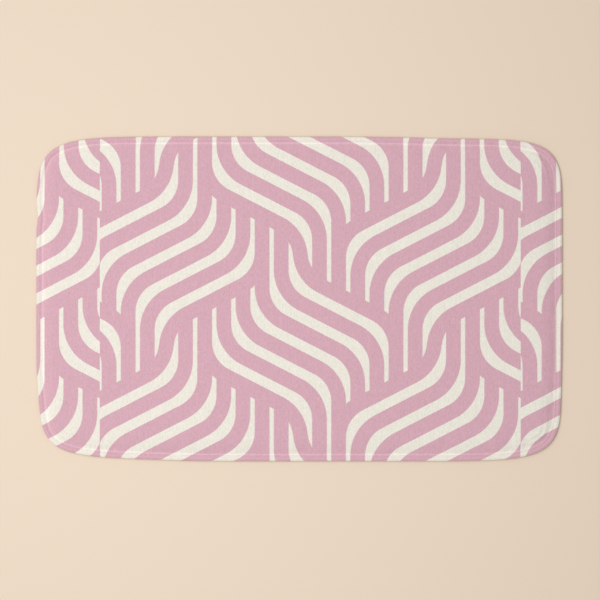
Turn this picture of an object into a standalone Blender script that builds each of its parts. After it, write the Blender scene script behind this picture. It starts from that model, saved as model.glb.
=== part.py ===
"""A printed memory-foam bath mat, built in the order that it is sewn.

A microfibre face cloth and a dotted backing cloth are seamed together round their edges with the right
sides in, turned right way out over a foam core, and topstitched a hem's width in from the edge. Both cloths
therefore fold round at the outline, and their seam allowances lie one on the other inside the hem.

Units are metres. +Z is up, +X runs along the mat, and the origin is on the floor under the middle of the mat.
"""

import bisect
import math

import bmesh
import bpy
from mathutils import Vector

MM = 0.001

# The outline is a superellipse: nearly straight sides, a little bowed, that turn into soft round corners.
MAT_LENGTH = 864 * MM
MAT_WIDTH = 533 * MM
CORNER_SQUARENESS = 9.3
STATIONS_PER_QUARTER = 16
TRIAL_POINTS = 600

# The layers, from the floor up. Each lies LAYER_GAP above the one under it.
DOT_HEIGHT = 0.9 * MM
BACKING_THICKNESS = 0.6 * MM
FOAM_THICKNESS = 9.1 * MM
FACE_THICKNESS = 1.2 * MM
LAYER_GAP = 0.3 * MM

# The hem, measured inwards from the outline.
HEM_WIDTH = 10 * MM
ALLOWANCE_WIDTH = 8.5 * MM
BACKING_EDGE_INSET = 0.6 * MM
GROOVE_DEPTH = 0.5 * MM
GROOVE_WIDTH = 2.4 * MM
SHOULDER_START = 1.4 * MM
SHOULDER_RUN = 14 * MM
SHOULDER_STEPS = 6
OUTER_FOLD_STEPS = 6
INNER_FOLD_STEPS = 2
SMOOTH_UP_TO = math.radians(40)

# Sewing thread. The edge seam's thread lies in the valley between the two folds.
THREAD_RADIUS = 0.2 * MM
EDGE_THREAD_RADIUS = 0.15 * MM
EDGE_THREAD_INSET = 0.2 * MM
THREAD_CLEARANCE = 0.1 * MM
THREAD_BEVEL_RESOLUTION = 1

# The grip dots end short of the hem's stitches.
DOT_MARGIN = 6 * MM

# The care label, caught under the hem's stitches on the underside of one end.
LABEL_LENGTH = 40 * MM
LABEL_WIDTH = 28 * MM
LABEL_THICKNESS = 0.25 * MM
LABEL_TUCK = 3 * MM
LABEL_ACROSS = -120 * MM
LABEL_CLEARANCE = 1.5 * MM

# Heights that follow from the layers.
BACKING_BOTTOM = DOT_HEIGHT + LAYER_GAP
BACKING_TOP = BACKING_BOTTOM + BACKING_THICKNESS
BACKING_FLAP_BOTTOM = BACKING_TOP + LAYER_GAP
BACKING_FLAP_TOP = BACKING_FLAP_BOTTOM + BACKING_THICKNESS
FACE_FLAP_BOTTOM = BACKING_FLAP_TOP + LAYER_GAP
FACE_FLAP_TOP = FACE_FLAP_BOTTOM + FACE_THICKNESS
HEM_BOTTOM = FACE_FLAP_TOP + LAYER_GAP
HEM_TOP = HEM_BOTTOM + FACE_THICKNESS
GROOVE_BOTTOM = HEM_TOP - GROOVE_DEPTH
FOAM_BOTTOM = BACKING_TOP + LAYER_GAP
FOAM_TOP = FOAM_BOTTOM + FOAM_THICKNESS
FIELD_BOTTOM = FOAM_TOP + LAYER_GAP
FIELD_TOP = FIELD_BOTTOM + FACE_THICKNESS
SHOULDER_BASE_INSET = HEM_WIDTH + SHOULDER_START
FIELD_INSET = SHOULDER_BASE_INSET + SHOULDER_RUN


def clear_scene():
    for item in list(bpy.data.objects):
        bpy.data.objects.remove(item)


def plain_material(name, colour, roughness):
    material = bpy.data.materials.new(name)
    material.use_nodes = True
    shader = material.node_tree.nodes["Principled BSDF"]
    shader.inputs["Base Color"].default_value = (*colour, 1.0)
    shader.inputs["Roughness"].default_value = roughness
    shader.inputs["Metallic"].default_value = 0.0
    return material


def superellipse_point(angle):
    power = 2.0 / CORNER_SQUARENESS
    return Vector(
        (
            MAT_LENGTH / 2 * math.cos(angle) ** power,
            MAT_WIDTH / 2 * math.sin(angle) ** power,
        )
    )


def outward_normal(point):
    power = CORNER_SQUARENESS - 1.0
    slope = Vector(
        (
            (point.x / (MAT_LENGTH / 2)) ** power / MAT_LENGTH,
            (point.y / (MAT_WIDTH / 2)) ** power / MAT_WIDTH,
        )
    )
    return slope.normalized()


def quarter_stations():
    """Points of one quarter with their outward normals, shared out evenly by length and by turning, so that the
    corner gets as many as both of its straight sides."""
    quarter = math.pi / 2
    trial = [superellipse_point(quarter * i / TRIAL_POINTS) for i in range(1, TRIAL_POINTS)]
    points = [Vector((MAT_LENGTH / 2, 0.0)), *trial, Vector((0.0, MAT_WIDTH / 2))]
    normals = [outward_normal(point) for point in points]
    length = sum((b - a).length for a, b in zip(points, points[1:]))
    walked = [0.0]
    for i in range(1, len(points)):
        step = (points[i] - points[i - 1]).length / length
        turn = normals[i].angle(normals[i - 1]) / quarter
        walked.append(walked[-1] + step + turn)
    stations = []
    for i in range(STATIONS_PER_QUARTER):
        target = walked[-1] * i / STATIONS_PER_QUARTER
        after = max(1, bisect.bisect_left(walked, target))
        share = (target - walked[after - 1]) / (walked[after] - walked[after - 1])
        point = points[after - 1].lerp(points[after], share)
        stations.append((point, outward_normal(point)))
    return stations


def all_stations():
    """The whole outline, anticlockwise from the middle of the +X end."""
    first = quarter_stations()
    top = (Vector((0.0, MAT_WIDTH / 2)), Vector((0.0, 1.0)))
    second = [(Vector((-p.x, p.y)), Vector((-n.x, n.y))) for p, n in reversed(first)]
    half = [*first, top, *second[:-1]]
    return [*half, *[(-p, -n) for p, n in half]]


STATIONS = all_stations()


def ring(inset, height):
    """The outline moved inwards by inset, at a height."""
    return [Vector((*(p - n * inset), height)) for p, n in STATIONS]


def add_mesh(name, mesh_builder, material):
    mesh = bpy.data.meshes.new(name)
    mesh_builder.normal_update()
    mesh_builder.to_mesh(mesh)
    mesh_builder.free()
    mesh.materials.append(material)
    mesh.shade_smooth()
    mesh.set_sharp_from_angle(angle=SMOOTH_UP_TO)
    item = bpy.data.objects.new(name, mesh)
    bpy.context.scene.collection.objects.link(item)
    return item


def lofted_piece(name, profile, material):
    """A closed piece whose rings follow the outline. The profile is a list of (inset, height), from the cap
    that faces up, outwards and round, to the cap that faces down."""
    bm = bmesh.new()
    rings = [[bm.verts.new(place) for place in ring(inset, height)] for inset, height in profile]
    bm.faces.new(rings[0])
    for upper, lower in zip(rings, rings[1:]):
        for i in range(len(upper)):
            bm.faces.new((upper[i - 1], lower[i - 1], lower[i], upper[i]))
    bm.faces.new(list(reversed(rings[-1])))
    return add_mesh(name, bm, material)


def shoulder(field_height, clearance):
    """The quarter-ellipse roll from the flat field down beside the hem's stitches, by clearance inside the
    face."""
    run = SHOULDER_RUN - clearance
    rise = field_height - GROOVE_BOTTOM
    turned = [math.pi / 2 * i / SHOULDER_STEPS for i in range(SHOULDER_STEPS + 1)]
    return [(FIELD_INSET - run * math.sin(a), GROOVE_BOTTOM + rise * math.cos(a)) for a in turned]


def fold(edge_inset, bottom, top, steps):
    """A half-round turn at the edge, from its top round to its bottom."""
    radius = (top - bottom) / 2
    middle = (top + bottom) / 2
    turned = [math.pi * i / steps for i in range(steps + 1)]
    return [
        (edge_inset + radius * (1 - math.sin(a)), middle + radius * math.cos(a)) for a in turned
    ]


def build_face_cloth(material):
    groove = [
        (HEM_WIDTH, GROOVE_BOTTOM),
        (HEM_WIDTH - GROOVE_WIDTH / 2, HEM_TOP),
    ]
    outer_fold = fold(0.0, FACE_FLAP_BOTTOM, HEM_TOP, OUTER_FOLD_STEPS)
    flap = [(ALLOWANCE_WIDTH, FACE_FLAP_BOTTOM), (ALLOWANCE_WIDTH, FACE_FLAP_TOP)]
    inner_fold = fold(FACE_THICKNESS, FACE_FLAP_TOP, HEM_BOTTOM, INNER_FOLD_STEPS)[::-1]
    underside = [(SHOULDER_BASE_INSET + FACE_THICKNESS, HEM_BOTTOM)]
    inside = shoulder(FIELD_BOTTOM, FACE_THICKNESS)[::-1]
    profile = shoulder(FIELD_TOP, 0.0) + groove + outer_fold + flap + inner_fold + underside + inside
    return lofted_piece("face_cloth", profile, material)


def build_foam_core(material):
    """The foam is cut back to the stitches, and its rim is pressed round by the face cloth."""
    rim = shoulder(FOAM_TOP, FACE_THICKNESS + LAYER_GAP)
    profile = [*rim, (rim[-1][0], FOAM_BOTTOM)]
    return lofted_piece("foam_core", profile, material)


def build_backing_cloth(material):
    outer_fold = fold(BACKING_EDGE_INSET, BACKING_BOTTOM, BACKING_FLAP_TOP, OUTER_FOLD_STEPS)
    inner_edge = BACKING_EDGE_INSET + BACKING_THICKNESS
    inner_fold = fold(inner_edge, BACKING_TOP, BACKING_FLAP_BOTTOM, INNER_FOLD_STEPS)[::-1]
    flap = [(ALLOWANCE_WIDTH, BACKING_FLAP_BOTTOM), (ALLOWANCE_WIDTH, BACKING_FLAP_TOP)]
    field = (FIELD_INSET, BACKING_TOP)
    profile = [field, *inner_fold, *flap, *outer_fold, (FIELD_INSET, BACKING_BOTTOM)]
    return lofted_piece("backing_cloth", profile, material)


def label_end():
    """The x of the label's outer end, tucked in past the stitches."""
    return MAT_LENGTH / 2 - HEM_WIDTH + LABEL_TUCK


def box_between(name, low, high, material):
    bm = bmesh.new()
    bmesh.ops.create_cube(bm, size=1.0)
    size = Vector(high) - Vector(low)
    bmesh.ops.scale(bm, vec=size, verts=bm.verts)
    bmesh.ops.translate(bm, vec=(Vector(low) + Vector(high)) / 2, verts=bm.verts)
    return add_mesh(name, bm, material)


def build_grip_dots(material):
    """The layer that the dots stand in, with a clear place for the care label."""
    inset = HEM_WIDTH + DOT_MARGIN
    dots = lofted_piece("grip_dots", [(inset, DOT_HEIGHT), (inset, 0.0)], material)
    half = LABEL_WIDTH / 2 + LABEL_CLEARANCE
    cutter = box_between(
        "label_clearance_cutter",
        (label_end() - LABEL_LENGTH - LABEL_CLEARANCE, LABEL_ACROSS - half, -DOT_HEIGHT),
        (MAT_LENGTH, LABEL_ACROSS + half, 2 * DOT_HEIGHT),
        material,
    )
    cutter.hide_render = True
    cutter.display_type = "WIRE"
    cut = dots.modifiers.new("label_clearance", "BOOLEAN")
    cut.operation = "DIFFERENCE"
    cut.object = cutter
    return dots


def build_care_label(material):
    top = BACKING_BOTTOM - LAYER_GAP
    return box_between(
        "care_label",
        (label_end() - LABEL_LENGTH, LABEL_ACROSS - LABEL_WIDTH / 2, top - LABEL_THICKNESS),
        (label_end(), LABEL_ACROSS + LABEL_WIDTH / 2, top),
        material,
    )


def build_thread(name, inset, height, radius, material):
    """One line of sewing, as the loop of thread that it uses."""
    curve = bpy.data.curves.new(name, "CURVE")
    curve.dimensions = "3D"
    curve.bevel_depth = radius
    curve.bevel_resolution = THREAD_BEVEL_RESOLUTION
    spline = curve.splines.new("POLY")
    places = ring(inset, height)
    spline.points.add(len(places) - 1)
    for point, place in zip(spline.points, places):
        point.co = (*place, 1.0)
    spline.use_cyclic_u = True
    curve.materials.append(material)
    item = bpy.data.objects.new(name, curve)
    bpy.context.scene.collection.objects.link(item)
    return item


def build_mat():
    face = plain_material("printed_microfibre", (0.68, 0.39, 0.47), 0.95)
    foam = plain_material("memory_foam", (0.86, 0.83, 0.72), 0.9)
    backing = plain_material("backing_knit", (0.80, 0.79, 0.76), 0.9)
    rubber = plain_material("grip_rubber", (0.62, 0.62, 0.60), 0.55)
    thread = plain_material("pink_thread", (0.70, 0.44, 0.52), 0.6)
    satin = plain_material("label_satin", (0.90, 0.90, 0.88), 0.4)

    build_face_cloth(face)
    build_foam_core(foam)
    build_backing_cloth(backing)
    build_grip_dots(rubber)
    build_care_label(satin)
    needle_height = GROOVE_BOTTOM + THREAD_CLEARANCE + THREAD_RADIUS
    build_thread("needle_thread", HEM_WIDTH, needle_height, THREAD_RADIUS, thread)
    label_bottom = BACKING_BOTTOM - LAYER_GAP - LABEL_THICKNESS
    bobbin_height = label_bottom - THREAD_CLEARANCE - THREAD_RADIUS
    build_thread("bobbin_thread", HEM_WIDTH, bobbin_height, THREAD_RADIUS, thread)
    seam_height = (BACKING_FLAP_TOP + FACE_FLAP_BOTTOM) / 2
    build_thread("edge_seam_thread", EDGE_THREAD_INSET, seam_height, EDGE_THREAD_RADIUS, thread)


clear_scene()
build_mat()
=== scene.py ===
import math

import bmesh
import bpy
import numpy as np
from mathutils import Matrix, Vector, kdtree, noise


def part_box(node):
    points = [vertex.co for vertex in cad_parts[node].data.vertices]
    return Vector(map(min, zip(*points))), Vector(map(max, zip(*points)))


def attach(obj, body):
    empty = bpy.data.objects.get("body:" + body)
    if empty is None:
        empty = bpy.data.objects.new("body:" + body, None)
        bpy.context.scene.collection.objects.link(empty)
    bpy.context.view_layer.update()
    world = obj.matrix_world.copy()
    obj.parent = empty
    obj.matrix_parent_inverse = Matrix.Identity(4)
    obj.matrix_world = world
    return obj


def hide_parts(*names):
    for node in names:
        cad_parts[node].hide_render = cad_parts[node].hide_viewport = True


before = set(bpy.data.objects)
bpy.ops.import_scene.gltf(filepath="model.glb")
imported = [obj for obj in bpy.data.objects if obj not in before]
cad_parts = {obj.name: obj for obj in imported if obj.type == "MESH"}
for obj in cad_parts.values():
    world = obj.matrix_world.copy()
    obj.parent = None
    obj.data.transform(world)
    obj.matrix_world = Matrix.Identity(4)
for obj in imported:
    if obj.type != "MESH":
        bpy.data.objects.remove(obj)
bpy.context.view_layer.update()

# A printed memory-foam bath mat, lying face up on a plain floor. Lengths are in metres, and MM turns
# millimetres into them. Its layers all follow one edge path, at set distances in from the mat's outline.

MM = 0.001

# ---------------------------------------------------------------- sizes

face_low, face_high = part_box("face_cloth")
backing_low, backing_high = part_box("backing_cloth")
foam_low, foam_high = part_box("foam_core")
seam_low, seam_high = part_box("edge_seam_thread")
dots_low, dots_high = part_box("grip_dots")
label_low, label_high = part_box("care_label")

HALF_LENGTH = face_high[0]
HALF_WIDTH = face_high[1]
CORNER_SQUARENESS = 9.3

# Heights of the layers' surfaces, and the layers' thicknesses.
FACE_THICKNESS = 1.2 * MM
FACE_FLAP_BOTTOM = face_low[2]
FACE_FLAP_TOP = FACE_FLAP_BOTTOM + FACE_THICKNESS
HEM_TOP = 6.3 * MM
HEM_BOTTOM = HEM_TOP - FACE_THICKNESS
FIELD_TOP = face_high[2]
BACKING_THICKNESS = 0.6 * MM
BACKING_BOTTOM = backing_low[2]
BACKING_TOP = BACKING_BOTTOM + BACKING_THICKNESS
BACKING_FLAP_TOP = backing_high[2]
BACKING_FLAP_BOTTOM = BACKING_FLAP_TOP - BACKING_THICKNESS

# Distances in from the outline.
HEM_WIDTH = 10 * MM
ALLOWANCE_WIDTH = 8.5 * MM
BACKING_EDGE_INSET = face_high[0] - backing_high[0]
FOAM_EDGE_INSET = face_high[0] - foam_high[0]

# Cloth that lay less than this far in from the outline counts as folded over the edge.
FOLD_MARK = 1.3 * MM

# Sewing.
STITCH = 3.0 * MM
SEAM_STITCH = 2.5 * MM
THREAD_RADIUS = 0.2 * MM
SEAM_THREAD_RADIUS = 0.15 * MM
SEAM_THREAD_INSET = 0.45 * MM

# The upper surface of the mat's edge, as (distance in from the outline, height) in millimetres: a plump
# rolled hem, a shallow valley, the flattened line of stitches at 10, and the climb on to the foam.
EDGE_PROFILE = (
    (0.0, 5.4),
    (1.6, 6.3),
    (3.0, 6.8),
    (4.4, 6.95),
    (5.6, 6.6),
    (7.0, 5.9),
    (8.2, 5.7),
    (9.2, 5.95),
    (10.8, 6.1),
    (12.0, 6.45),
    (14.0, 7.2),
    (17.0, 8.45),
    (20.0, 9.6),
    (24.0, 10.85),
    (28.0, 11.7),
    (33.0, 12.3),
    (38.0, 12.6),
    (44.0, 12.7),
)

# How far the unsupported hem sinks towards the floor at its outer edge, and how far in that begins.
HEM_SAG = 0.85 * MM
SAG_REACH = 13 * MM

# Where the sewing and the wash have drawn the edge in a little from its true line: the place, how far along
# the edge it reaches, and how deep it is. A negative depth is a corner turned out fuller than the others.
EDGE_PULLS = (
    ((270 * MM, 266 * MM), 110 * MM, 3.0 * MM),
    ((-405 * MM, -235 * MM), 75 * MM, 4.6 * MM),
    ((-300 * MM, -262 * MM), 95 * MM, 3.6 * MM),
    ((-432 * MM, 134 * MM), 16 * MM, 2.4 * MM),
    ((432 * MM, -160 * MM), 60 * MM, 1.4 * MM),
    ((-432 * MM, -170 * MM), 40 * MM, 1.2 * MM),
    ((418 * MM, 228 * MM), 48 * MM, -2.0 * MM),
)

# The radius of the mat's tightest corner, and how far either side of a place its turn is measured.
CORNER_RADIUS = 60 * MM
CORNER_STEP = 12 * MM

# Puckers that the topstitching draws up: how many go round the mat, how deep, and where they start. They
# are deepest a little inside the stitches.
PUCKER_INSET = 14 * MM
PUCKER_SPREAD = 8 * MM
PUCKERS = (
    (61, 0.11 * MM, 0.4),
    (97, 0.13 * MM, 2.1),
    (139, 0.10 * MM, 4.0),
    (181, 0.06 * MM, 1.3),
)

# Ripples that run round the corners, where the stretched cloth is turned.
RIPPLE_PITCH = 9 * MM
RIPPLE_DEPTH = 0.5 * MM
RIPPLE_INSET = 21 * MM
RIPPLE_SPREAD = 11 * MM

# The slow swell of the foam under the cloth, and the wander of the ripples.
SWELL_SIZE = 110 * MM
SWELL_HEIGHT = 0.45 * MM
WANDER_SIZE = 30 * MM

# Grip dots.
DOT_SIDES = 7
DOT_RADIUS = 2.1 * MM
DOT_PITCH = 10 * MM
DOT_ROW = DOT_PITCH * math.sqrt(3) / 2
DOT_MARGIN = 6 * MM

# Care label.
LABEL_CLEARANCE = 1.5 * MM
LABEL_THICKNESS = 0.22 * MM
LABEL_LIFT = 0.42 * MM

# The print, in millimetres: a basket weave of rounded strokes, drawn on a tile that repeats from side to
# side. The slanted part of a stroke falls by the bend slope for each step across, its ink bleeds a little
# at its edge, and the softness rounds the change from one stroke's ground to the next at the bends.
STROKE_PITCH = 31.39
STROKE_WIDTH = 24.31
BEND_RADIUS = 62.5
BEND_SLOPE = 0.5154
STROKE_STEP = 29.48
WEAVE_HEIGHT = 10 * STROKE_STEP
STROKES = 6
WEAVE_ACROSS = 2.0
WEAVE_UP = -75.3
TILE_LEFT = -327.1
TILE_PITCHES = 22
INK_EDGE = 0.7
BEND_SOFTNESS = 1.44

# How light the pile is painted from the edge inwards, as (share of the reach, half the lightness): painted
# shade in the valley beside the hem, and paler along the stitches and where the cloth bends up on to the
# foam. The paler parts are partly the pile flattened and opened up by the sewing, and partly a painted
# highlight.
PAINTED_EDGE_LIGHT_REACH = 40 * MM
PAINTED_EDGE_LIGHT_AND_WEAR = (
    (0.0, 0.505),
    (0.06, 0.505),
    (0.10, 0.522),
    (0.125, 0.515),
    (0.155, 0.478),
    (0.185, 0.518),
    (0.205, 0.474),
    (0.235, 0.545),
    (0.265, 0.600),
    (0.285, 0.578),
    (0.31, 0.542),
    (0.36, 0.525),
    (0.70, 0.50),
)

# Colours, as linear red, green and blue.
DUSTY_PINK = (0.612, 0.401, 0.466)
ROSE_PINK = (0.705, 0.393, 0.473)
CREAM = (0.833, 0.799, 0.717)


# ---------------------------------------------------------------- the edge path


class EdgePath:
    """The mat's outline, walked anticlockwise from the middle of the +X end."""

    STEPS = 3600

    def __init__(self):
        turned = np.linspace(0, 2 * math.pi, 4 * self.STEPS, endpoint=False)
        heading = np.stack([np.cos(turned), np.sin(turned)], axis=1)
        share = abs(heading / (HALF_LENGTH, HALF_WIDTH)) ** CORNER_SQUARENESS
        points = heading * share.sum(axis=1, keepdims=True) ** (-1 / CORNER_SQUARENESS)
        outward = self.turned_right(self.directions(points))
        for place, reach, depth in EDGE_PULLS:
            away = np.linalg.norm(points - place, axis=1, keepdims=True)
            points = points - outward * depth * np.exp(-((away / reach) ** 2))
        self.points, self.length = self.evenly_spaced(points)
        self.tangents = self.directions(self.points)
        self.normals = self.turned_right(self.tangents)
        self.walked = np.arange(self.STEPS) * self.length / self.STEPS
        self.tree = kdtree.KDTree(self.STEPS)
        for i, point in enumerate(self.points):
            self.tree.insert((*point, 0), i)
        self.tree.balance()

    @staticmethod
    def directions(points):
        ahead = np.roll(points, -1, axis=0) - np.roll(points, 1, axis=0)
        return ahead / np.linalg.norm(ahead, axis=1, keepdims=True)

    @staticmethod
    def turned_right(directions):
        return np.stack([directions[:, 1], -directions[:, 0]], axis=1)

    def evenly_spaced(self, points):
        closed = np.concatenate([points, points[:1]])
        walked = np.concatenate([[0], np.cumsum(np.linalg.norm(np.diff(closed, axis=0), axis=1))])
        marks = np.linspace(0, walked[-1], self.STEPS, endpoint=False)
        return np.stack([np.interp(marks, walked, closed[:, i]) for i in (0, 1)], axis=1), walked[-1]

    def read(self, pairs, along):
        """Points or directions of the edge, read off between its steps."""
        read = [np.interp(along, self.walked, pairs[:, i], period=self.length) for i in (0, 1)]
        return np.stack(read, axis=-1)

    def inward(self, along, inset):
        """The place at a distance along the edge, moved in from it."""
        return self.read(self.points, along) - self.read(self.normals, along) * np.asarray(inset)[..., None]

    def turning(self, along):
        """How sharply the edge turns, from 0 on the sides to 1 in the corners."""
        turned = self.read(self.normals, along + CORNER_STEP) - self.read(self.normals, along - CORNER_STEP)
        bend = np.linalg.norm(turned, axis=1) / (2 * CORNER_STEP)
        return np.clip(bend * CORNER_RADIUS, 0, 1)

    def nearest(self, places):
        """How far along the edge, and how far in from it, each place is."""
        places = np.asarray(places, dtype=float)[:, :2]
        found = np.array([self.tree.find((*place, 0))[1] for place in places])
        away = places - self.points[found]
        along = self.walked[found] + (away * self.tangents[found]).sum(axis=1)
        return along, -(away * self.normals[found]).sum(axis=1)

    def line(self, inset):
        """The length of a line of sewing at inset, and a function from the distance along it to the
        distance along the edge."""
        places = self.inward(np.append(self.walked, self.length), inset)
        sewn = np.concatenate([[0], np.cumsum(np.linalg.norm(np.diff(places, axis=0), axis=1))])
        return sewn[-1], lambda distance: np.interp(distance, sewn, np.append(self.walked, self.length))

    def corner(self, heading):
        """The distance along the edge where it faces heading."""
        return self.walked[np.argmax(self.normals @ np.asarray(heading))]


EDGE = EdgePath()
FIRST_CORNER = EDGE.corner((math.sqrt(0.5), math.sqrt(0.5)))
SECOND_CORNER = EDGE.corner((-math.sqrt(0.5), math.sqrt(0.5)))


# ---------------------------------------------------------------- modelling helpers


def vertex_places(piece):
    places = np.empty(3 * len(piece.data.vertices))
    piece.data.vertices.foreach_get("co", places)
    return places.reshape(-1, 3)


def move_vertices(piece, places):
    piece.data.vertices.foreach_set("co", places.ravel())
    piece.data.update()


def new_primitive(add, name, **settings):
    """Add one primitive with nothing else selected."""
    bpy.ops.object.select_all(action="DESELECT")
    add(**settings)
    piece = bpy.context.object
    piece.name = piece.data.name = name
    return piece


def apply_modifier(piece, kind, **settings):
    modifier = piece.modifiers.new(kind.lower(), kind)
    for setting, value in settings.items():
        setattr(modifier, setting, value)
    bpy.ops.object.modifier_apply(modifier=modifier.name)


def ring(name, count, inset, height):
    """A closed ring of edges that follows the mat's edge."""
    piece = new_primitive(
        bpy.ops.mesh.primitive_circle_add, name, vertices=count, radius=HALF_WIDTH, fill_type="NOTHING"
    )
    along = np.arange(count) * EDGE.length / count
    move_vertices(piece, np.column_stack([EDGE.inward(along, inset), np.full(count, height)]))
    return piece


def fill_field(piece):
    """Fill a ring with a grid of quads whose four corners lie in the mat's corners. The field's cut is set
    far in from the edge, as none of it is folded."""
    count = len(piece.data.vertices)
    first = round(FIRST_CORNER / EDGE.length * count)
    second = round(SECOND_CORNER / EDGE.length * count)
    bpy.ops.object.mode_set(mode="EDIT")
    bpy.ops.mesh.select_all(action="SELECT")
    shape = bmesh.from_edit_mesh(piece.data)
    shape.verts.ensure_lookup_table()
    shape.select_history.clear()
    shape.select_history.add(shape.verts[first])
    bpy.ops.mesh.fill_grid(span=second - first, offset=0)
    shape = bmesh.from_edit_mesh(piece.data)
    cut_layer = shape.verts.layers.float.new("cut")
    for vertex in shape.verts:
        vertex[cut_layer] = HALF_WIDTH
    bpy.ops.mesh.select_all(action="DESELECT")
    bpy.ops.mesh.select_non_manifold()


def grow(piece, profile):
    """Extrude the selected loop of edges through each (inset, height, cut) of a profile. The cut is how far
    in from the outline that line of the cloth lay before its edge was folded over."""
    for inset, height, cut in profile:
        bpy.ops.mesh.extrude_edges_indiv()
        shape = bmesh.from_edit_mesh(piece.data)
        cut_layer = shape.verts.layers.float["cut"]
        chosen = [vertex for vertex in shape.verts if vertex.select]
        along, _ = EDGE.nearest([vertex.co for vertex in chosen])
        for vertex, place in zip(chosen, EDGE.inward(along, inset)):
            vertex.co = (*place, height)
            vertex[cut_layer] = cut
    bmesh.update_edit_mesh(piece.data)


def sink_hem(piece):
    """Let the hem of a finished piece sink, as it has no dots under it."""
    places = vertex_places(piece)
    _, inset = EDGE.nearest(places)
    share = np.clip(1 - inset / SAG_REACH, 0, 1)
    places[:, 2] -= HEM_SAG * share**2 * (3 - 2 * share)
    move_vertices(piece, places)


def close_and_finish(piece):
    """Close the last loop, turn the faces outwards and smooth them."""
    bpy.ops.mesh.edge_face_add()
    bpy.ops.mesh.select_all(action="SELECT")
    bpy.ops.mesh.normals_make_consistent(inside=False)
    if bmesh.from_edit_mesh(piece.data).calc_volume(signed=True) < 0:
        bpy.ops.mesh.flip_normals()
    bpy.ops.object.mode_set(mode="OBJECT")
    bpy.ops.object.shade_smooth_by_angle(angle=math.radians(50))


def flat_cloth_map(piece):
    """A UV map that holds each point's place on the flat cloth, in metres, before its edge was folded over,
    and an attribute that holds its distance in from the edge."""
    places = vertex_places(piece)
    cut = np.empty(len(places))
    piece.data.attributes["cut"].data.foreach_get("value", cut)
    along, inset = EDGE.nearest(places)
    folded = cut < FOLD_MARK
    flat = np.where(folded[:, None], EDGE.inward(along, cut), places[:, :2])
    corners = np.empty(len(piece.data.loops), dtype=int)
    piece.data.loops.foreach_get("vertex_index", corners)
    layer = piece.data.uv_layers.new(name="flat_cloth")
    layer.data.foreach_set("uv", flat[corners].ravel())
    piece.data.attributes["cut"].data.foreach_set("value", np.where(folded, cut, inset))


def fold(edge_inset, bottom, top, steps):
    """A half-round turn of cloth at the edge, from its top down to its bottom."""
    radius = (top - bottom) / 2
    turned = [math.pi * i / steps for i in range(steps + 1)]
    return [
        (
            edge_inset + radius * (1 - math.sin(angle)),
            bottom + radius * (1 + math.cos(angle)),
            edge_inset + radius * (1 - angle),
        )
        for angle in turned
    ]


# ---------------------------------------------------------------- face cloth

FACE_COUNT = 400
FACE_FIELD_INSET = 44 * MM

# How far in each loop of edges lies, in millimetres, from the field to the hem: closer where it bends more.
FACE_RINGS = (
    (39, 34.5, 30.5, 27, 24, 21.3, 18.9, 16.8, 15, 13.4)
    + (12.1, 11.1, 10.2, 9.3, 8.4, 7.5, 6.6, 5.6, 4.3, 2.8)
)


def smooth_edge_profile():
    """The edge profile at even steps, its corners rounded off."""
    insets, heights = np.transpose(EDGE_PROFILE) * MM
    steps = np.arange(-4 * MM, insets[-1] + 4 * MM, 0.1 * MM)
    kernel = np.hanning(17)
    return steps[8:-8], np.convolve(np.interp(steps, insets, heights), kernel / kernel.sum(), "valid")


PROFILE_INSETS, PROFILE_HEIGHTS = smooth_edge_profile()


def under_face(inset, gap=0.0):
    """The height of the face cloth's underside at an inset, less a gap."""
    return float(np.interp(inset, PROFILE_INSETS, PROFILE_HEIGHTS)) - FACE_THICKNESS - gap


def near(inset, place, spread):
    """1 at a distance in from the edge, falling away to 0 on both sides of it."""
    return np.exp(-(((inset - place) / spread) ** 2))


def slow_noise(places, size, layer):
    """Smooth noise between about -1 and 1, with features of a size."""
    return np.array([noise.noise(Vector((x / size, y / size, layer))) for x, y, _ in places])


def face_height(places):
    """The upper surface of the face cloth, with the puckers of the sewing, the ripples of the corners and
    the swell of the foam."""
    along, inset = EDGE.nearest(places)
    turning = EDGE.turning(along)
    height = np.interp(inset, PROFILE_INSETS, PROFILE_HEIGHTS)
    round_trip = 2 * math.pi * along / EDGE.length
    pucker = sum(depth * np.sin(count * round_trip + start) for count, depth, start in PUCKERS)
    near_seam = near(inset, PUCKER_INSET, PUCKER_SPREAD) + 0.4 * (inset < HEM_WIDTH)
    height += pucker * near_seam * (1 + 1.2 * turning)
    wander = slow_noise(places, WANDER_SIZE, 4.2)
    ripple = np.sin(2 * math.pi * inset / RIPPLE_PITCH + 3 * wander)
    height += RIPPLE_DEPTH * turning * ripple * near(inset, RIPPLE_INSET, RIPPLE_SPREAD)
    swell = slow_noise(places, SWELL_SIZE, 0.7)
    height += SWELL_HEIGHT * swell * np.clip((inset - 12 * MM) / (30 * MM), 0, 1)
    return height


def fill_out(cloth):
    """Let the cloth fill out between its stitches and the foam it is bonded to, as cloth with some slack
    does: a simulation whose result is smoothed, held to a small movement, and kept as heights only."""
    before = vertex_places(cloth)
    _, inset = EDGE.nearest(before)
    bonded = np.clip((inset - 30 * MM) / (18 * MM), 0, 1)
    held = cloth.vertex_groups.new(name="held")
    for i, share in enumerate(np.where(inset < HEM_WIDTH + 1.5 * MM, 1.0, bonded)):
        held.add([i], float(share), "REPLACE")
    drape = cloth.modifiers.new("drape", "CLOTH")
    drape.settings.quality = 5
    drape.settings.mass = 0.3
    drape.settings.vertex_group_mass = "held"
    drape.settings.bending_stiffness = 0.5
    drape.settings.use_pressure = True
    drape.settings.uniform_pressure_force = 4.0
    drape.settings.shrink_min = -0.015
    drape.settings.effector_weights.gravity = 0
    for frame_number in range(1, 21):
        bpy.context.scene.frame_set(frame_number)
    bpy.ops.object.modifier_apply(modifier="drape")
    apply_modifier(cloth, "SMOOTH", factor=0.5, iterations=6)
    risen = np.clip(vertex_places(cloth)[:, 2] - before[:, 2], -0.4 * MM, 1.2 * MM)
    kept = np.clip((inset - HEM_WIDTH - MM) / (5 * MM), 0, 1)
    move_vertices(cloth, np.column_stack([before[:, :2], before[:, 2] + risen * kept]))


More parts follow.
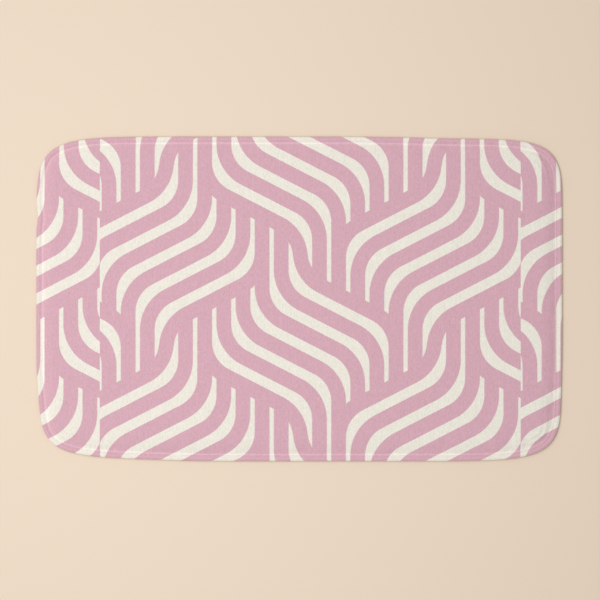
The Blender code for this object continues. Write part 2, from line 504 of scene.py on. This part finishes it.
def build_face_cloth():
    cloth = ring("mat_face_cloth", FACE_COUNT, FACE_FIELD_INSET, FIELD_TOP)
    fill_field(cloth)
    grow(cloth, [(inset * MM, FIELD_TOP, inset * MM) for inset in FACE_RINGS])
    bpy.ops.mesh.select_all(action="SELECT")
    bpy.ops.mesh.normals_make_consistent(inside=False)
    bpy.ops.object.mode_set(mode="OBJECT")
    fill_out(cloth)
    apply_modifier(cloth, "SUBSURF", levels=1, render_levels=1)
    places = vertex_places(cloth)
    places[:, 2] += face_height(places) - FIELD_TOP
    move_vertices(cloth, places)

    bpy.ops.object.mode_set(mode="EDIT")
    bpy.ops.mesh.select_all(action="DESELECT")
    bpy.ops.mesh.select_non_manifold()
    turn = fold(0.0, FACE_FLAP_BOTTOM, HEM_TOP, 8)
    end_cut = turn[-1][2] - (ALLOWANCE_WIDTH - turn[-1][0])
    flap = [(ALLOWANCE_WIDTH, FACE_FLAP_BOTTOM, end_cut), (ALLOWANCE_WIDTH, FACE_FLAP_TOP, end_cut)]
    inner_turn = fold(FACE_THICKNESS, FACE_FLAP_TOP, HEM_BOTTOM, 2)[::-1]
    under_hem = [(6 * MM, HEM_BOTTOM, HEM_WIDTH), (HEM_WIDTH, HEM_BOTTOM - 0.25 * MM, HEM_WIDTH)]
    shoulder = (12, 14, 18, 22, 28, 36, 46)
    under_shoulder = [(inset * MM, under_face(inset * MM), HEM_WIDTH) for inset in shoulder]
    grow(cloth, turn + flap + inner_turn + under_hem + under_shoulder)
    close_and_finish(cloth)
    flat_cloth_map(cloth)
    return cloth


# ---------------------------------------------------------------- backing cloth and foam

BACKING_COUNT = 480

# The backing's loops of edges, as (distance in, lift) in millimetres: the stitches draw it up at 10.
BACKING_RINGS = (
    (13.0, 0.0),
    (11.5, 0.04),
    (10.6, 0.2),
    (10.0, 0.3),
    (9.4, 0.2),
    (8.5, 0.04),
    (6.5, 0.0),
    (4.0, 0.0),
    (2.2, 0.0),
)
BACKING_FIELD_INSET = 15 * MM


def build_backing_cloth():
    cloth = ring("mat_backing_cloth", BACKING_COUNT, BACKING_FIELD_INSET, BACKING_BOTTOM)
    fill_field(cloth)
    drawn_up = [(inset * MM, BACKING_BOTTOM + lift * MM, inset * MM) for inset, lift in BACKING_RINGS]
    turn = fold(BACKING_EDGE_INSET, BACKING_BOTTOM, BACKING_FLAP_TOP, 8)[::-1]
    turn = [(inset, height, 2 * turn[0][0] - cut) for inset, height, cut in turn]
    end_cut = turn[-1][2] - (ALLOWANCE_WIDTH - turn[-1][0])
    flap = [(ALLOWANCE_WIDTH, BACKING_FLAP_TOP, end_cut), (ALLOWANCE_WIDTH, BACKING_FLAP_BOTTOM, end_cut)]
    inner_turn = fold(BACKING_EDGE_INSET + BACKING_THICKNESS, BACKING_TOP, BACKING_FLAP_BOTTOM, 2)
    inside = [(BACKING_FIELD_INSET, BACKING_TOP, BACKING_FIELD_INSET)]
    grow(cloth, drawn_up + turn + flap + inner_turn + inside)
    close_and_finish(cloth)
    flat_cloth_map(cloth)
    return cloth


FOAM_COUNT = 320
FOAM_GAP = 0.3 * MM


def build_foam_core():
    foam = ring("mat_foam_core", FOAM_COUNT, 50 * MM, foam_high[2])
    fill_field(foam)
    insets = (44, 36, 30, 25.5, 22, 19, 16.5, 14.5, 13.3)
    rim = [(inset * MM, min(foam_high[2], under_face(inset * MM, FOAM_GAP)), HEM_WIDTH) for inset in insets]
    rim.append((FOAM_EDGE_INSET, under_face(FOAM_EDGE_INSET, FOAM_GAP) - 0.5 * MM, HEM_WIDTH))
    skirt = [
        (FOAM_EDGE_INSET, foam_low[2] + 0.4 * MM, HEM_WIDTH),
        (FOAM_EDGE_INSET + 0.4 * MM, foam_low[2], HEM_WIDTH),
    ]
    grow(foam, rim + skirt)
    close_and_finish(foam)
    return foam


# ---------------------------------------------------------------- sewing


def sew_line(name, inset, surface, stitch, radius, sag):
    """A row of stitches, modelled as one and repeated, and laid along a line at inset, at the height that
    surface gives for each place. Each stitch stands proud in its middle, and dives at its ends by sag to
    its needle holes."""
    length, edge_distance = EDGE.line(inset)
    count = round(length / stitch)
    spacing = length / count
    row = new_primitive(
        bpy.ops.mesh.primitive_cylinder_add,
        name,
        vertices=6,
        radius=radius,
        depth=spacing * 0.98,
        location=(spacing / 2, 0, 0),
        rotation=(0, math.pi / 2, 0),
    )
    bpy.ops.object.transform_apply(location=True, rotation=True, scale=True)
    bpy.ops.object.mode_set(mode="EDIT")
    bpy.ops.mesh.select_all(action="DESELECT")
    shape = bmesh.from_edit_mesh(row.data)
    for edge in shape.edges:
        run = edge.verts[0].co - edge.verts[1].co
        edge.select_set(abs(run.x) > spacing / 2)
    bpy.ops.mesh.subdivide(number_cuts=4)
    bpy.ops.object.mode_set(mode="OBJECT")
    places = vertex_places(row)
    from_middle = abs(places[:, 0] - spacing / 2) / (spacing / 2)
    places[:, 1:] *= (1 - 0.35 * from_middle**4)[:, None]
    places[:, 2] -= sag * from_middle**3
    move_vertices(row, places)
    apply_modifier(
        row,
        "ARRAY",
        count=count,
        use_relative_offset=False,
        use_constant_offset=True,
        constant_offset_displace=(spacing, 0, 0),
    )
    places = vertex_places(row)
    along = edge_distance(places[:, 0])
    laid = EDGE.inward(along, inset + places[:, 1])
    line = np.column_stack([EDGE.inward(along, inset), places[:, 2]])
    move_vertices(row, np.column_stack([laid, places[:, 2] + surface(line)]))
    bpy.ops.object.shade_smooth_by_angle(angle=math.radians(70))
    return row


def build_needle_thread():
    def on_face(line):
        return face_height(line) + 0.12 * MM

    return sew_line("topstitch_needle_thread", HEM_WIDTH, on_face, STITCH, THREAD_RADIUS, 0.3 * MM)


def build_bobbin_thread():
    def under_backing(line):
        return np.full(len(line), BACKING_BOTTOM + 0.15 * MM)

    return sew_line("topstitch_bobbin_thread", HEM_WIDTH, under_backing, STITCH, THREAD_RADIUS, -0.3 * MM)


def build_seam_thread():
    def in_the_fold(line):
        return np.full(len(line), (seam_low[2] + seam_high[2]) / 2)

    inset = SEAM_THREAD_INSET
    return sew_line("edge_seam_stitches", inset, in_the_fold, SEAM_STITCH, SEAM_THREAD_RADIUS, 0.0)


# ---------------------------------------------------------------- grip dots


def build_grip_dots():
    """One soft dot, moulded on to the backing, repeated in staggered rows and trimmed to the field."""
    depth = BACKING_BOTTOM - dots_low[2]
    columns = math.ceil(2 * HALF_LENGTH / DOT_PITCH)
    rows = math.ceil(HALF_WIDTH / DOT_ROW)
    start = (-columns * DOT_PITCH / 2, -rows * DOT_ROW, dots_low[2] + depth / 2)
    dots = new_primitive(
        bpy.ops.mesh.primitive_cylinder_add,
        "backing_grip_dots",
        vertices=DOT_SIDES,
        radius=DOT_RADIUS,
        depth=depth,
    )
    bpy.ops.object.mode_set(mode="EDIT")
    bpy.ops.mesh.select_all(action="DESELECT")
    shape = bmesh.from_edit_mesh(dots.data)
    for edge in shape.edges:
        edge.select_set(all(vertex.co.z < 0 for vertex in edge.verts))
    bpy.ops.mesh.bevel(offset=0.75 * MM, segments=1)
    bpy.ops.object.mode_set(mode="OBJECT")
    corners = len(dots.data.vertices)
    move_vertices(dots, vertex_places(dots) + start)
    for count, offset in (
        (2, (DOT_PITCH / 2, DOT_ROW, 0)),
        (columns, (DOT_PITCH, 0, 0)),
        (rows, (0, 2 * DOT_ROW, 0)),
    ):
        apply_modifier(
            dots,
            "ARRAY",
            count=count,
            use_relative_offset=False,
            use_constant_offset=True,
            constant_offset_displace=offset,
        )
    places = vertex_places(dots)
    middles = places.reshape(-1, corners, 3).mean(axis=1)
    _, inset = EDGE.nearest(middles)
    outside = inset < HEM_WIDTH + DOT_MARGIN + DOT_RADIUS
    reach = LABEL_CLEARANCE + DOT_RADIUS
    on_label = (
        (middles[:, 0] > label_low[0] - reach)
        & (middles[:, 1] > label_low[1] - reach)
        & (middles[:, 1] < label_high[1] + reach)
    )
    trimmed = np.repeat(outside | on_label, corners)
    bpy.ops.object.mode_set(mode="EDIT")
    shape = bmesh.from_edit_mesh(dots.data)
    for vertex, away in zip(shape.verts, trimmed):
        vertex.select_set(bool(away))
    shape.select_flush(True)
    bpy.ops.mesh.delete(type="VERT")
    bpy.ops.object.mode_set(mode="OBJECT")
    bpy.ops.object.shade_smooth_by_angle(angle=math.radians(60))
    return dots


# ---------------------------------------------------------------- care label


def build_care_label():
    """A short length of woven ribbon, sewn down at one end and lifting a little at the other."""
    length = label_high[0] - label_low[0]
    width = label_high[1] - label_low[1]
    label = new_primitive(
        bpy.ops.mesh.primitive_grid_add, "care_label_ribbon", x_subdivisions=28, y_subdivisions=18
    )
    places = vertex_places(label)
    across = places[:, 0] * 0.5 + 0.5
    up = places[:, 1] * 0.5 + 0.5
    lift = LABEL_LIFT * (1 - across) ** 2 * (0.6 + 0.4 * np.cos(2.2 * math.pi * up))
    places = np.column_stack(
        [
            label_low[0] + length * across,
            label_low[1] + width * up,
            label_high[2] - lift,
        ]
    )
    move_vertices(label, places)
    apply_modifier(label, "SOLIDIFY", thickness=LABEL_THICKNESS, offset=-1)
    bpy.ops.object.shade_smooth_by_angle(angle=math.radians(50))
    return label


# ---------------------------------------------------------------- finishes


class Value:
    """One number from a shader's nodes. Sums on it add Math nodes."""

    def __init__(self, finish, socket):
        self.finish = finish
        self.socket = socket

    def __add__(self, other):
        return self.finish.math("ADD", self, other)

    def __sub__(self, other):
        return self.finish.math("SUBTRACT", self, other)

    def __rsub__(self, other):
        return self.finish.math("SUBTRACT", other, self)

    def __mul__(self, other):
        return self.finish.math("MULTIPLY", self, other)

    def __truediv__(self, other):
        return self.finish.math("DIVIDE", self, other)

    def __neg__(self):
        return self.finish.math("MULTIPLY", self, -1.0)

    def __abs__(self):
        return self.finish.math("ABSOLUTE", self)

    def __gt__(self, other):
        return self.finish.math("GREATER_THAN", self, other)

    __radd__ = __add__
    __rmul__ = __mul__


class Finish:
    """One material and its nodes."""

    def __init__(self, name, **surface):
        self.material = bpy.data.materials.new(name)
        self.material.use_nodes = True
        self.tree = self.material.node_tree
        self.shader = self.tree.nodes["Principled BSDF"]
        self.set_surface(**surface)

    def set_surface(self, **surface):
        for name, value in surface.items():
            self.feed(self.shader.inputs[name.replace("_", " ").title()], value)

    def feed(self, socket, value):
        if isinstance(value, Value):
            self.tree.links.new(value.socket, socket)
        elif isinstance(value, tuple) and len(value) == 3 and socket.type == "RGBA":
            socket.default_value = (*value, 1.0)
        else:
            socket.default_value = value

    def node(self, kind, settings=(), inputs=(), output=0):
        made = self.tree.nodes.new(kind)
        for name, value in dict(settings).items():
            setattr(made, name, value)
        for name, value in dict(inputs).items():
            self.feed(made.inputs[name], value)
        return Value(self, made.outputs[output])

    def math(self, operation, *values, clamp=False):
        return self.node("ShaderNodeMath", {"operation": operation, "use_clamp": clamp}, enumerate(values))

    def smallest(self, first, second):
        return self.math("MINIMUM", first, second)

    def largest(self, first, second):
        return self.math("MAXIMUM", first, second)

    def wrapped(self, value, low, high):
        return self.math("WRAP", value, high, low)

    def share(self, value):
        """Value held between 0 and 1."""
        return self.math("ADD", value, 0.0, clamp=True)

    def blend(self, share, first, second):
        """Two colours mixed by a share of the second."""
        return self.node(
            "ShaderNodeMix", {"data_type": "RGBA"}, {0: share, 6: first, 7: second}, output=2
        )

    def shade(self, colour, amount):
        """A colour made lighter or darker by a number near 1."""
        return self.node("ShaderNodeVectorMath", {"operation": "SCALE"}, {0: colour, "Scale": amount})

    def parts(self, place):
        """The X, Y and Z of a place."""
        split = self.node("ShaderNodeSeparateXYZ", (), {0: place})
        return [Value(self, part) for part in split.socket.node.outputs]

    def object_place(self):
        return self.node("ShaderNodeTexCoord", output="Object")

    def cloth_place(self):
        return self.node("ShaderNodeUVMap", {"uv_map": "flat_cloth"})

    def scaled(self, place, across, up, through=1.0):
        return self.node("ShaderNodeMapping", (), {"Vector": place, "Scale": (across, up, through)})

    def grain(self, place, size, detail=2.0, roughness=0.5):
        """Even random mottling between 0 and 1, with features of a size."""
        inputs = {"Vector": place, "Scale": 1 / size, "Detail": detail, "Roughness": roughness}
        return self.node("ShaderNodeTexNoise", (), inputs)

    def pits(self, place, size):
        return self.node("ShaderNodeTexVoronoi", (), {"Vector": place, "Scale": 1 / size})

    def edge_distance(self):
        """How far in from the mat's edge the cloth is, in metres."""
        return self.node("ShaderNodeAttribute", {"attribute_name": "cut"}, output="Fac")

    def ramp(self, value, *stops):
        """A number read off a line through stops, each a place between 0 and 1 and the number there."""
        read = self.node("ShaderNodeValToRGB", (), {0: value})
        colours = read.socket.node.color_ramp.elements
        for place, _ in stops[2:]:
            colours.new(place)
        for stop, (place, number) in zip(colours, stops):
            stop.position = place
            stop.color = (number, number, number, 1.0)
        return read

    def bump(self, height, distance, strength=1.0, over=None):
        inputs = {"Height": height, "Distance": distance, "Strength": strength}
        if over is not None:
            inputs["Normal"] = over
        return self.node("ShaderNodeBump", (), inputs)


# ---------------------------------------------------------------- the print


class WeavePrint:
    """The printed basket weave, in millimetres on the flat cloth. Six strokes of one width run side by
    side. They come down upright, sweep aside in one group, and go on upright. Groups that sweep one way and
    the other take turns, and each covers the upright ends of its neighbours. The cloth's cream shows
    between strokes."""

    def __init__(self, finish):
        self.finish = finish
        self.half_sweep = 2.5 * STROKE_PITCH
        self.repeat = 14 * STROKE_PITCH
        slant = math.atan(BEND_SLOPE)
        self.slant_sine = math.sin(slant)
        self.bend_rise = BEND_RADIUS * math.tan((math.pi / 2 - slant) / 2)
        self.zone = self.half_sweep * BEND_SLOPE + self.bend_rise

    def bend(self, past, radius):
        """How far a bend has gone aside, at a height past its start: along an arc, then along the slant."""
        look = self.finish
        arc_height = radius / math.hypot(1, BEND_SLOPE)
        on_arc = look.smallest(look.largest(past, 0.0), arc_height)
        fall = look.math("SQRT", radius * radius - on_arc * on_arc)
        return radius - fall + look.largest(past - arc_height, 0.0) / BEND_SLOPE

    def stroke_edge(self, drop, side):
        """How far across the edge of a stroke is, side being its distance from the stroke's middle."""
        upper = self.bend(drop + self.zone, BEND_RADIUS - side)
        lower = self.bend(self.zone - drop, BEND_RADIUS + side)
        return upper - lower - drop / BEND_SLOPE + (2 * side - side / self.slant_sine)

    def inked(self, distance):
        """1 inside a shape and 0 outside it, from the distance in from its edge."""
        return self.finish.share(distance / (2 * INK_EDGE) + 0.5)

    def nearest_stroke(self, across, drop):
        """The place of the stroke that a point is nearest to, from -2.5, the first, to 2.5, the last."""
        look = self.finish
        reach = self.half_sweep / STROKE_PITCH
        upright = across / STROKE_PITCH
        slanted = (across - drop / BEND_SLOPE) / (STROKE_PITCH + STROKE_STEP / BEND_SLOPE)
        kept = look.math("SMOOTH_MAX", upright - reach, slanted, BEND_SOFTNESS)
        place = look.math("SMOOTH_MIN", upright + reach, kept, BEND_SOFTNESS)
        counted = look.math("ROUND", place + 2.5)
        return look.smallest(look.largest(counted, 0.0), STROKES - 1.0) - 2.5

    def group(self, across, drop):
        """Where one group of strokes lies, and the cream between them, each from 0 to 1."""
        look = self.finish
        stroke = self.nearest_stroke(across, drop)
        own_across = across - stroke * STROKE_PITCH
        own_drop = drop + stroke * STROKE_STEP
        half = STROKE_WIDTH / 2
        left = self.stroke_edge(own_drop, -half) - own_across
        right = own_across - self.stroke_edge(own_drop, half)
        far = 1000.0
        first = (stroke > -2.0) * -far + far
        last = (stroke > 2.0) * far
        between = look.largest(left - first, right - last)
        beyond = look.largest(left - far + first, right - far + last)
        covered = look.smallest(-beyond, self.zone - abs(own_drop))
        return self.inked(covered), self.inked(between)

    def cream(self, across, up):
        """1 where the cream ground shows, and 0 on the strokes."""
        look = self.finish
        tile = TILE_PITCHES * STROKE_PITCH
        across = look.wrapped(across, TILE_LEFT, TILE_LEFT + tile)
        up = up - WEAVE_UP
        half = STROKE_PITCH / 2
        uprights = look.wrapped(across - WEAVE_ACROSS, -half, half)
        shown = self.inked(abs(uprights) - STROKE_WIDTH / 2)
        for aside, drop in ((0.0, -up), (self.repeat / 2, up - WEAVE_HEIGHT / 2)):
            group_across = look.wrapped(across - (WEAVE_ACROSS + aside), -self.repeat / 2, self.repeat / 2)
            group_drop = look.wrapped(drop, -WEAVE_HEIGHT / 2, WEAVE_HEIGHT / 2)
            covered, between = self.group(group_across, group_drop)
            shown = shown + covered * (between - shown)
        return shown


def printed_microfibre():
    look = Finish("printed_microfibre", roughness=0.95, sheen_weight=0.25, sheen_roughness=0.6)
    look.shader.inputs["Specular IOR Level"].default_value = 0.15
    cloth = look.cloth_place()
    fuzz_inputs = {"Vector": cloth, "Scale": 1 / (1.1 * MM), "Detail": 1.0}
    fuzz = look.node("ShaderNodeTexNoise", (), fuzz_inputs, output=1)
    centred = look.node("ShaderNodeVectorMath", {"operation": "SUBTRACT"}, {0: fuzz, 1: (0.5, 0.5, 0.5)})
    nudge = look.node("ShaderNodeVectorMath", {"operation": "SCALE"}, {0: centred, "Scale": 0.9 * MM})
    nudged = look.node("ShaderNodeVectorMath", {"operation": "ADD"}, {0: cloth, 1: nudge})
    across, up, _ = look.parts(nudged)
    cream = WeavePrint(look).cream(across / MM, up / MM)

    nap = look.grain(cloth, 5 * MM, detail=3.0)
    tufts = look.grain(cloth, 2.3 * MM, detail=2.0)
    wales = look.grain(look.scaled(cloth, 1.0, 0.3), 2.1 * MM, detail=2.0)
    long_wales = look.grain(look.scaled(cloth, 1.0, 0.05), 2.6 * MM, detail=1.0)
    pink = look.blend(look.share((nap - 0.5) * 2.2 + 0.5), DUSTY_PINK, ROSE_PINK)
    printed = look.blend(cream, pink, CREAM)
    fibres = look.grain(look.scaled(cloth, 1.0, 0.45), 0.5 * MM, detail=3.0, roughness=0.65)
    patches = look.grain(look.scaled(cloth, 1.0, 0.6), 12 * MM, detail=2.0)
    fine = (tufts - 0.5) * 0.26 + (fibres - 0.5) * 0.18
    broad = (wales - 0.5) * 0.27 + (long_wales - 0.5) * 0.10 + (patches - 0.5) * 0.07
    light = fine + broad + 1.0
    # The pile's lightness by the edge: painted shade in the valley beside the hem, a painted highlight
    # where the cloth bends up, and the pile's own paling along the stitches.
    painted_light_and_wear = look.ramp(look.edge_distance() / PAINTED_EDGE_LIGHT_REACH, *PAINTED_EDGE_LIGHT_AND_WEAR)
    pile = look.bump(tufts * 0.5 + wales * 0.25 + fibres * 0.3, 0.5 * MM, 0.8)
    look.set_surface(
        base_color=look.shade(printed, light * painted_light_and_wear * 2.0),
        roughness=look.share(0.98 - tufts * 0.12),
        normal=pile,
    )
    return look.material


def memory_foam():
    look = Finish("memory_foam", roughness=0.9)
    place = look.object_place()
    cells = look.pits(place, 1.3 * MM)
    cloud = look.grain(place, 18 * MM)
    colour = look.blend(cloud, (0.86, 0.83, 0.72), (0.82, 0.77, 0.62))
    look.set_surface(
        base_color=look.shade(colour, cells * 0.25 + 0.85),
        roughness=look.share(0.95 - cells * 0.1),
        normal=look.bump(cells, 0.4 * MM),
    )
    return look.material


def backing_knit():
    """Fine knitted polyester: upright wales with a slanted loop at each course."""
    look = Finish("backing_knit", roughness=0.85, sheen_weight=0.1)
    cloth = look.cloth_place()
    across, up, _ = look.parts(cloth)
    wales = across / (0.95 * MM)
    courses = up / (0.8 * MM)
    wale = look.math("COSINE", wales * (2 * math.pi))
    lean = look.math("PINGPONG", wales, 0.5) * 1.6
    course = look.math("COSINE", (courses + lean) * (2 * math.pi))
    loops = wale * 0.3 + course * 0.2 + 0.5
    cloud = look.grain(cloth, 25 * MM)
    fluff = look.grain(cloth, 0.8 * MM)
    colour = look.blend(cloud, (0.80, 0.78, 0.74), (0.74, 0.73, 0.70))
    look.set_surface(
        base_color=look.shade(colour, loops * 0.16 + fluff * 0.08 + 0.84),
        roughness=look.share(0.92 - loops * 0.15),
        normal=look.bump(loops + fluff * 0.3, 0.25 * MM),
    )
    return look.material


def grip_rubber():
    look = Finish("grip_rubber", roughness=0.45)
    place = look.object_place()
    cloud = look.grain(place, 30 * MM)
    skin = look.grain(place, 0.5 * MM)
    dust = look.grain(place, 4 * MM, detail=4.0)
    colour = look.blend(cloud, (0.66, 0.66, 0.63), (0.60, 0.60, 0.58))
    look.set_surface(
        base_color=look.shade(colour, 1.04 - dust * 0.12),
        roughness=look.share(dust * 0.35 + 0.28),
        normal=look.bump(skin, 0.06 * MM),
    )
    return look.material


def pink_thread():
    """Two plies of polyester, twisted: slanting bands along each stitch."""
    look = Finish("pink_thread", roughness=0.5, sheen_weight=0.15)
    place = look.object_place()
    across, up, through = look.parts(place)
    twist = look.math("SINE", (across + up + through * 2.2) * (2 * math.pi / (0.55 * MM)))
    wear = look.grain(place, 12 * MM)
    colour = look.blend(wear, (0.90, 0.71, 0.765), (0.86, 0.65, 0.71))
    look.set_surface(
        base_color=look.shade(colour, twist * 0.06 + 0.97),
        roughness=look.share(twist * 0.08 + 0.5),
        normal=look.bump(twist, 0.03 * MM),
    )
    return look.material


def label_satin():
    look = Finish("label_satin", roughness=0.4, sheen_weight=0.2)
    place = look.object_place()
    across, up, _ = look.parts(place)
    ribs = look.math("SINE", across * (2 * math.pi / (0.35 * MM))) * 0.5 + 0.5
    warp = look.math("SINE", up * (2 * math.pi / (0.22 * MM))) * 0.5 + 0.5
    cloud = look.grain(place, 10 * MM)
    colour = look.blend(cloud, (0.88, 0.88, 0.86), (0.83, 0.82, 0.79))
    look.set_surface(
        base_color=look.shade(colour, ribs * 0.06 + 0.95),
        roughness=look.share(warp * 0.12 + 0.34),
        normal=look.bump(ribs * 0.7 + warp * 0.3, 0.04 * MM),
    )
    return look.material


def pale_floor():
    look = Finish("pale_floor", roughness=0.7, base_color=(0.81, 0.676, 0.542))
    return look.material


# ---------------------------------------------------------------- the mat

MAKERS = (printed_microfibre, memory_foam, backing_knit, grip_rubber, pink_thread, label_satin)
FINISHES = {make.__name__: make() for make in MAKERS}

PIECES = (
    (build_face_cloth, "face_cloth", "printed_microfibre"),
    (build_foam_core, "foam_core", "memory_foam"),
    (build_backing_cloth, "backing_cloth", "backing_knit"),
    (build_grip_dots, "grip_dots", "grip_rubber"),
    (build_needle_thread, "needle_thread", "pink_thread"),
    (build_bobbin_thread, "bobbin_thread", "pink_thread"),
    (build_seam_thread, "edge_seam_thread", "pink_thread"),
    (build_care_label, "care_label", "label_satin"),
)

# The pieces that the hem's sinking moves.
HEMMED = ("face_cloth", "backing_cloth", "needle_thread", "bobbin_thread", "edge_seam_thread")

for build, node, finish_name in PIECES:
    piece = build()
    if node in HEMMED:
        sink_hem(piece)
    piece.data.materials.clear()
    piece.data.materials.append(FINISHES[finish_name])
    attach(piece, "root")
    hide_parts(node)


# ---------------------------------------------------------------- floor, light and camera


def build_floor():
    floor = new_primitive(bpy.ops.mesh.primitive_plane_add, "floor", size=6.0, location=(0, 0, -0.1 * MM))
    floor.data.materials.append(pale_floor())


SOFT_WHITE = (1.0, 0.99, 0.98)


def add_area_light(name, place, size, power):
    light = bpy.data.lights.new(name, "AREA")
    light.shape = "SQUARE"
    light.size = size
    light.energy = power
    light.color = SOFT_WHITE
    lamp = bpy.data.objects.new(name, light)
    bpy.context.scene.collection.objects.link(lamp)
    lamp.location = place
    lamp.rotation_euler = (-Vector(place)).to_track_quat("-Z", "Y").to_euler()


def light_studio():
    world = bpy.data.worlds.new("studio")
    world.use_nodes = True
    world.node_tree.nodes["Background"].inputs["Color"].default_value = (1.0, 0.985, 0.97, 1.0)
    world.node_tree.nodes["Background"].inputs["Strength"].default_value = 0.53
    bpy.context.scene.world = world
    add_area_light("window", (-2.5, 2.1, 4.2), 2.5, 46.0)
    add_area_light("overhead", (-0.6, -0.1, 1.9), 1.2, 17.0)


def place_camera():
    lens = bpy.data.cameras.new("from_above")
    lens.lens = 180
    lens.sensor_width = 36
    camera = bpy.data.objects.new("from_above", lens)
    bpy.context.scene.collection.objects.link(camera)
    seen_width = 984.4 * MM
    camera.location = (1.4 * MM, -1.8 * MM, FIELD_TOP + seen_width * lens.lens / lens.sensor_width)
    bpy.context.scene.camera = camera


build_floor()
light_studio()
place_camera()
bpy.context.scene.view_settings.view_transform = "Standard"
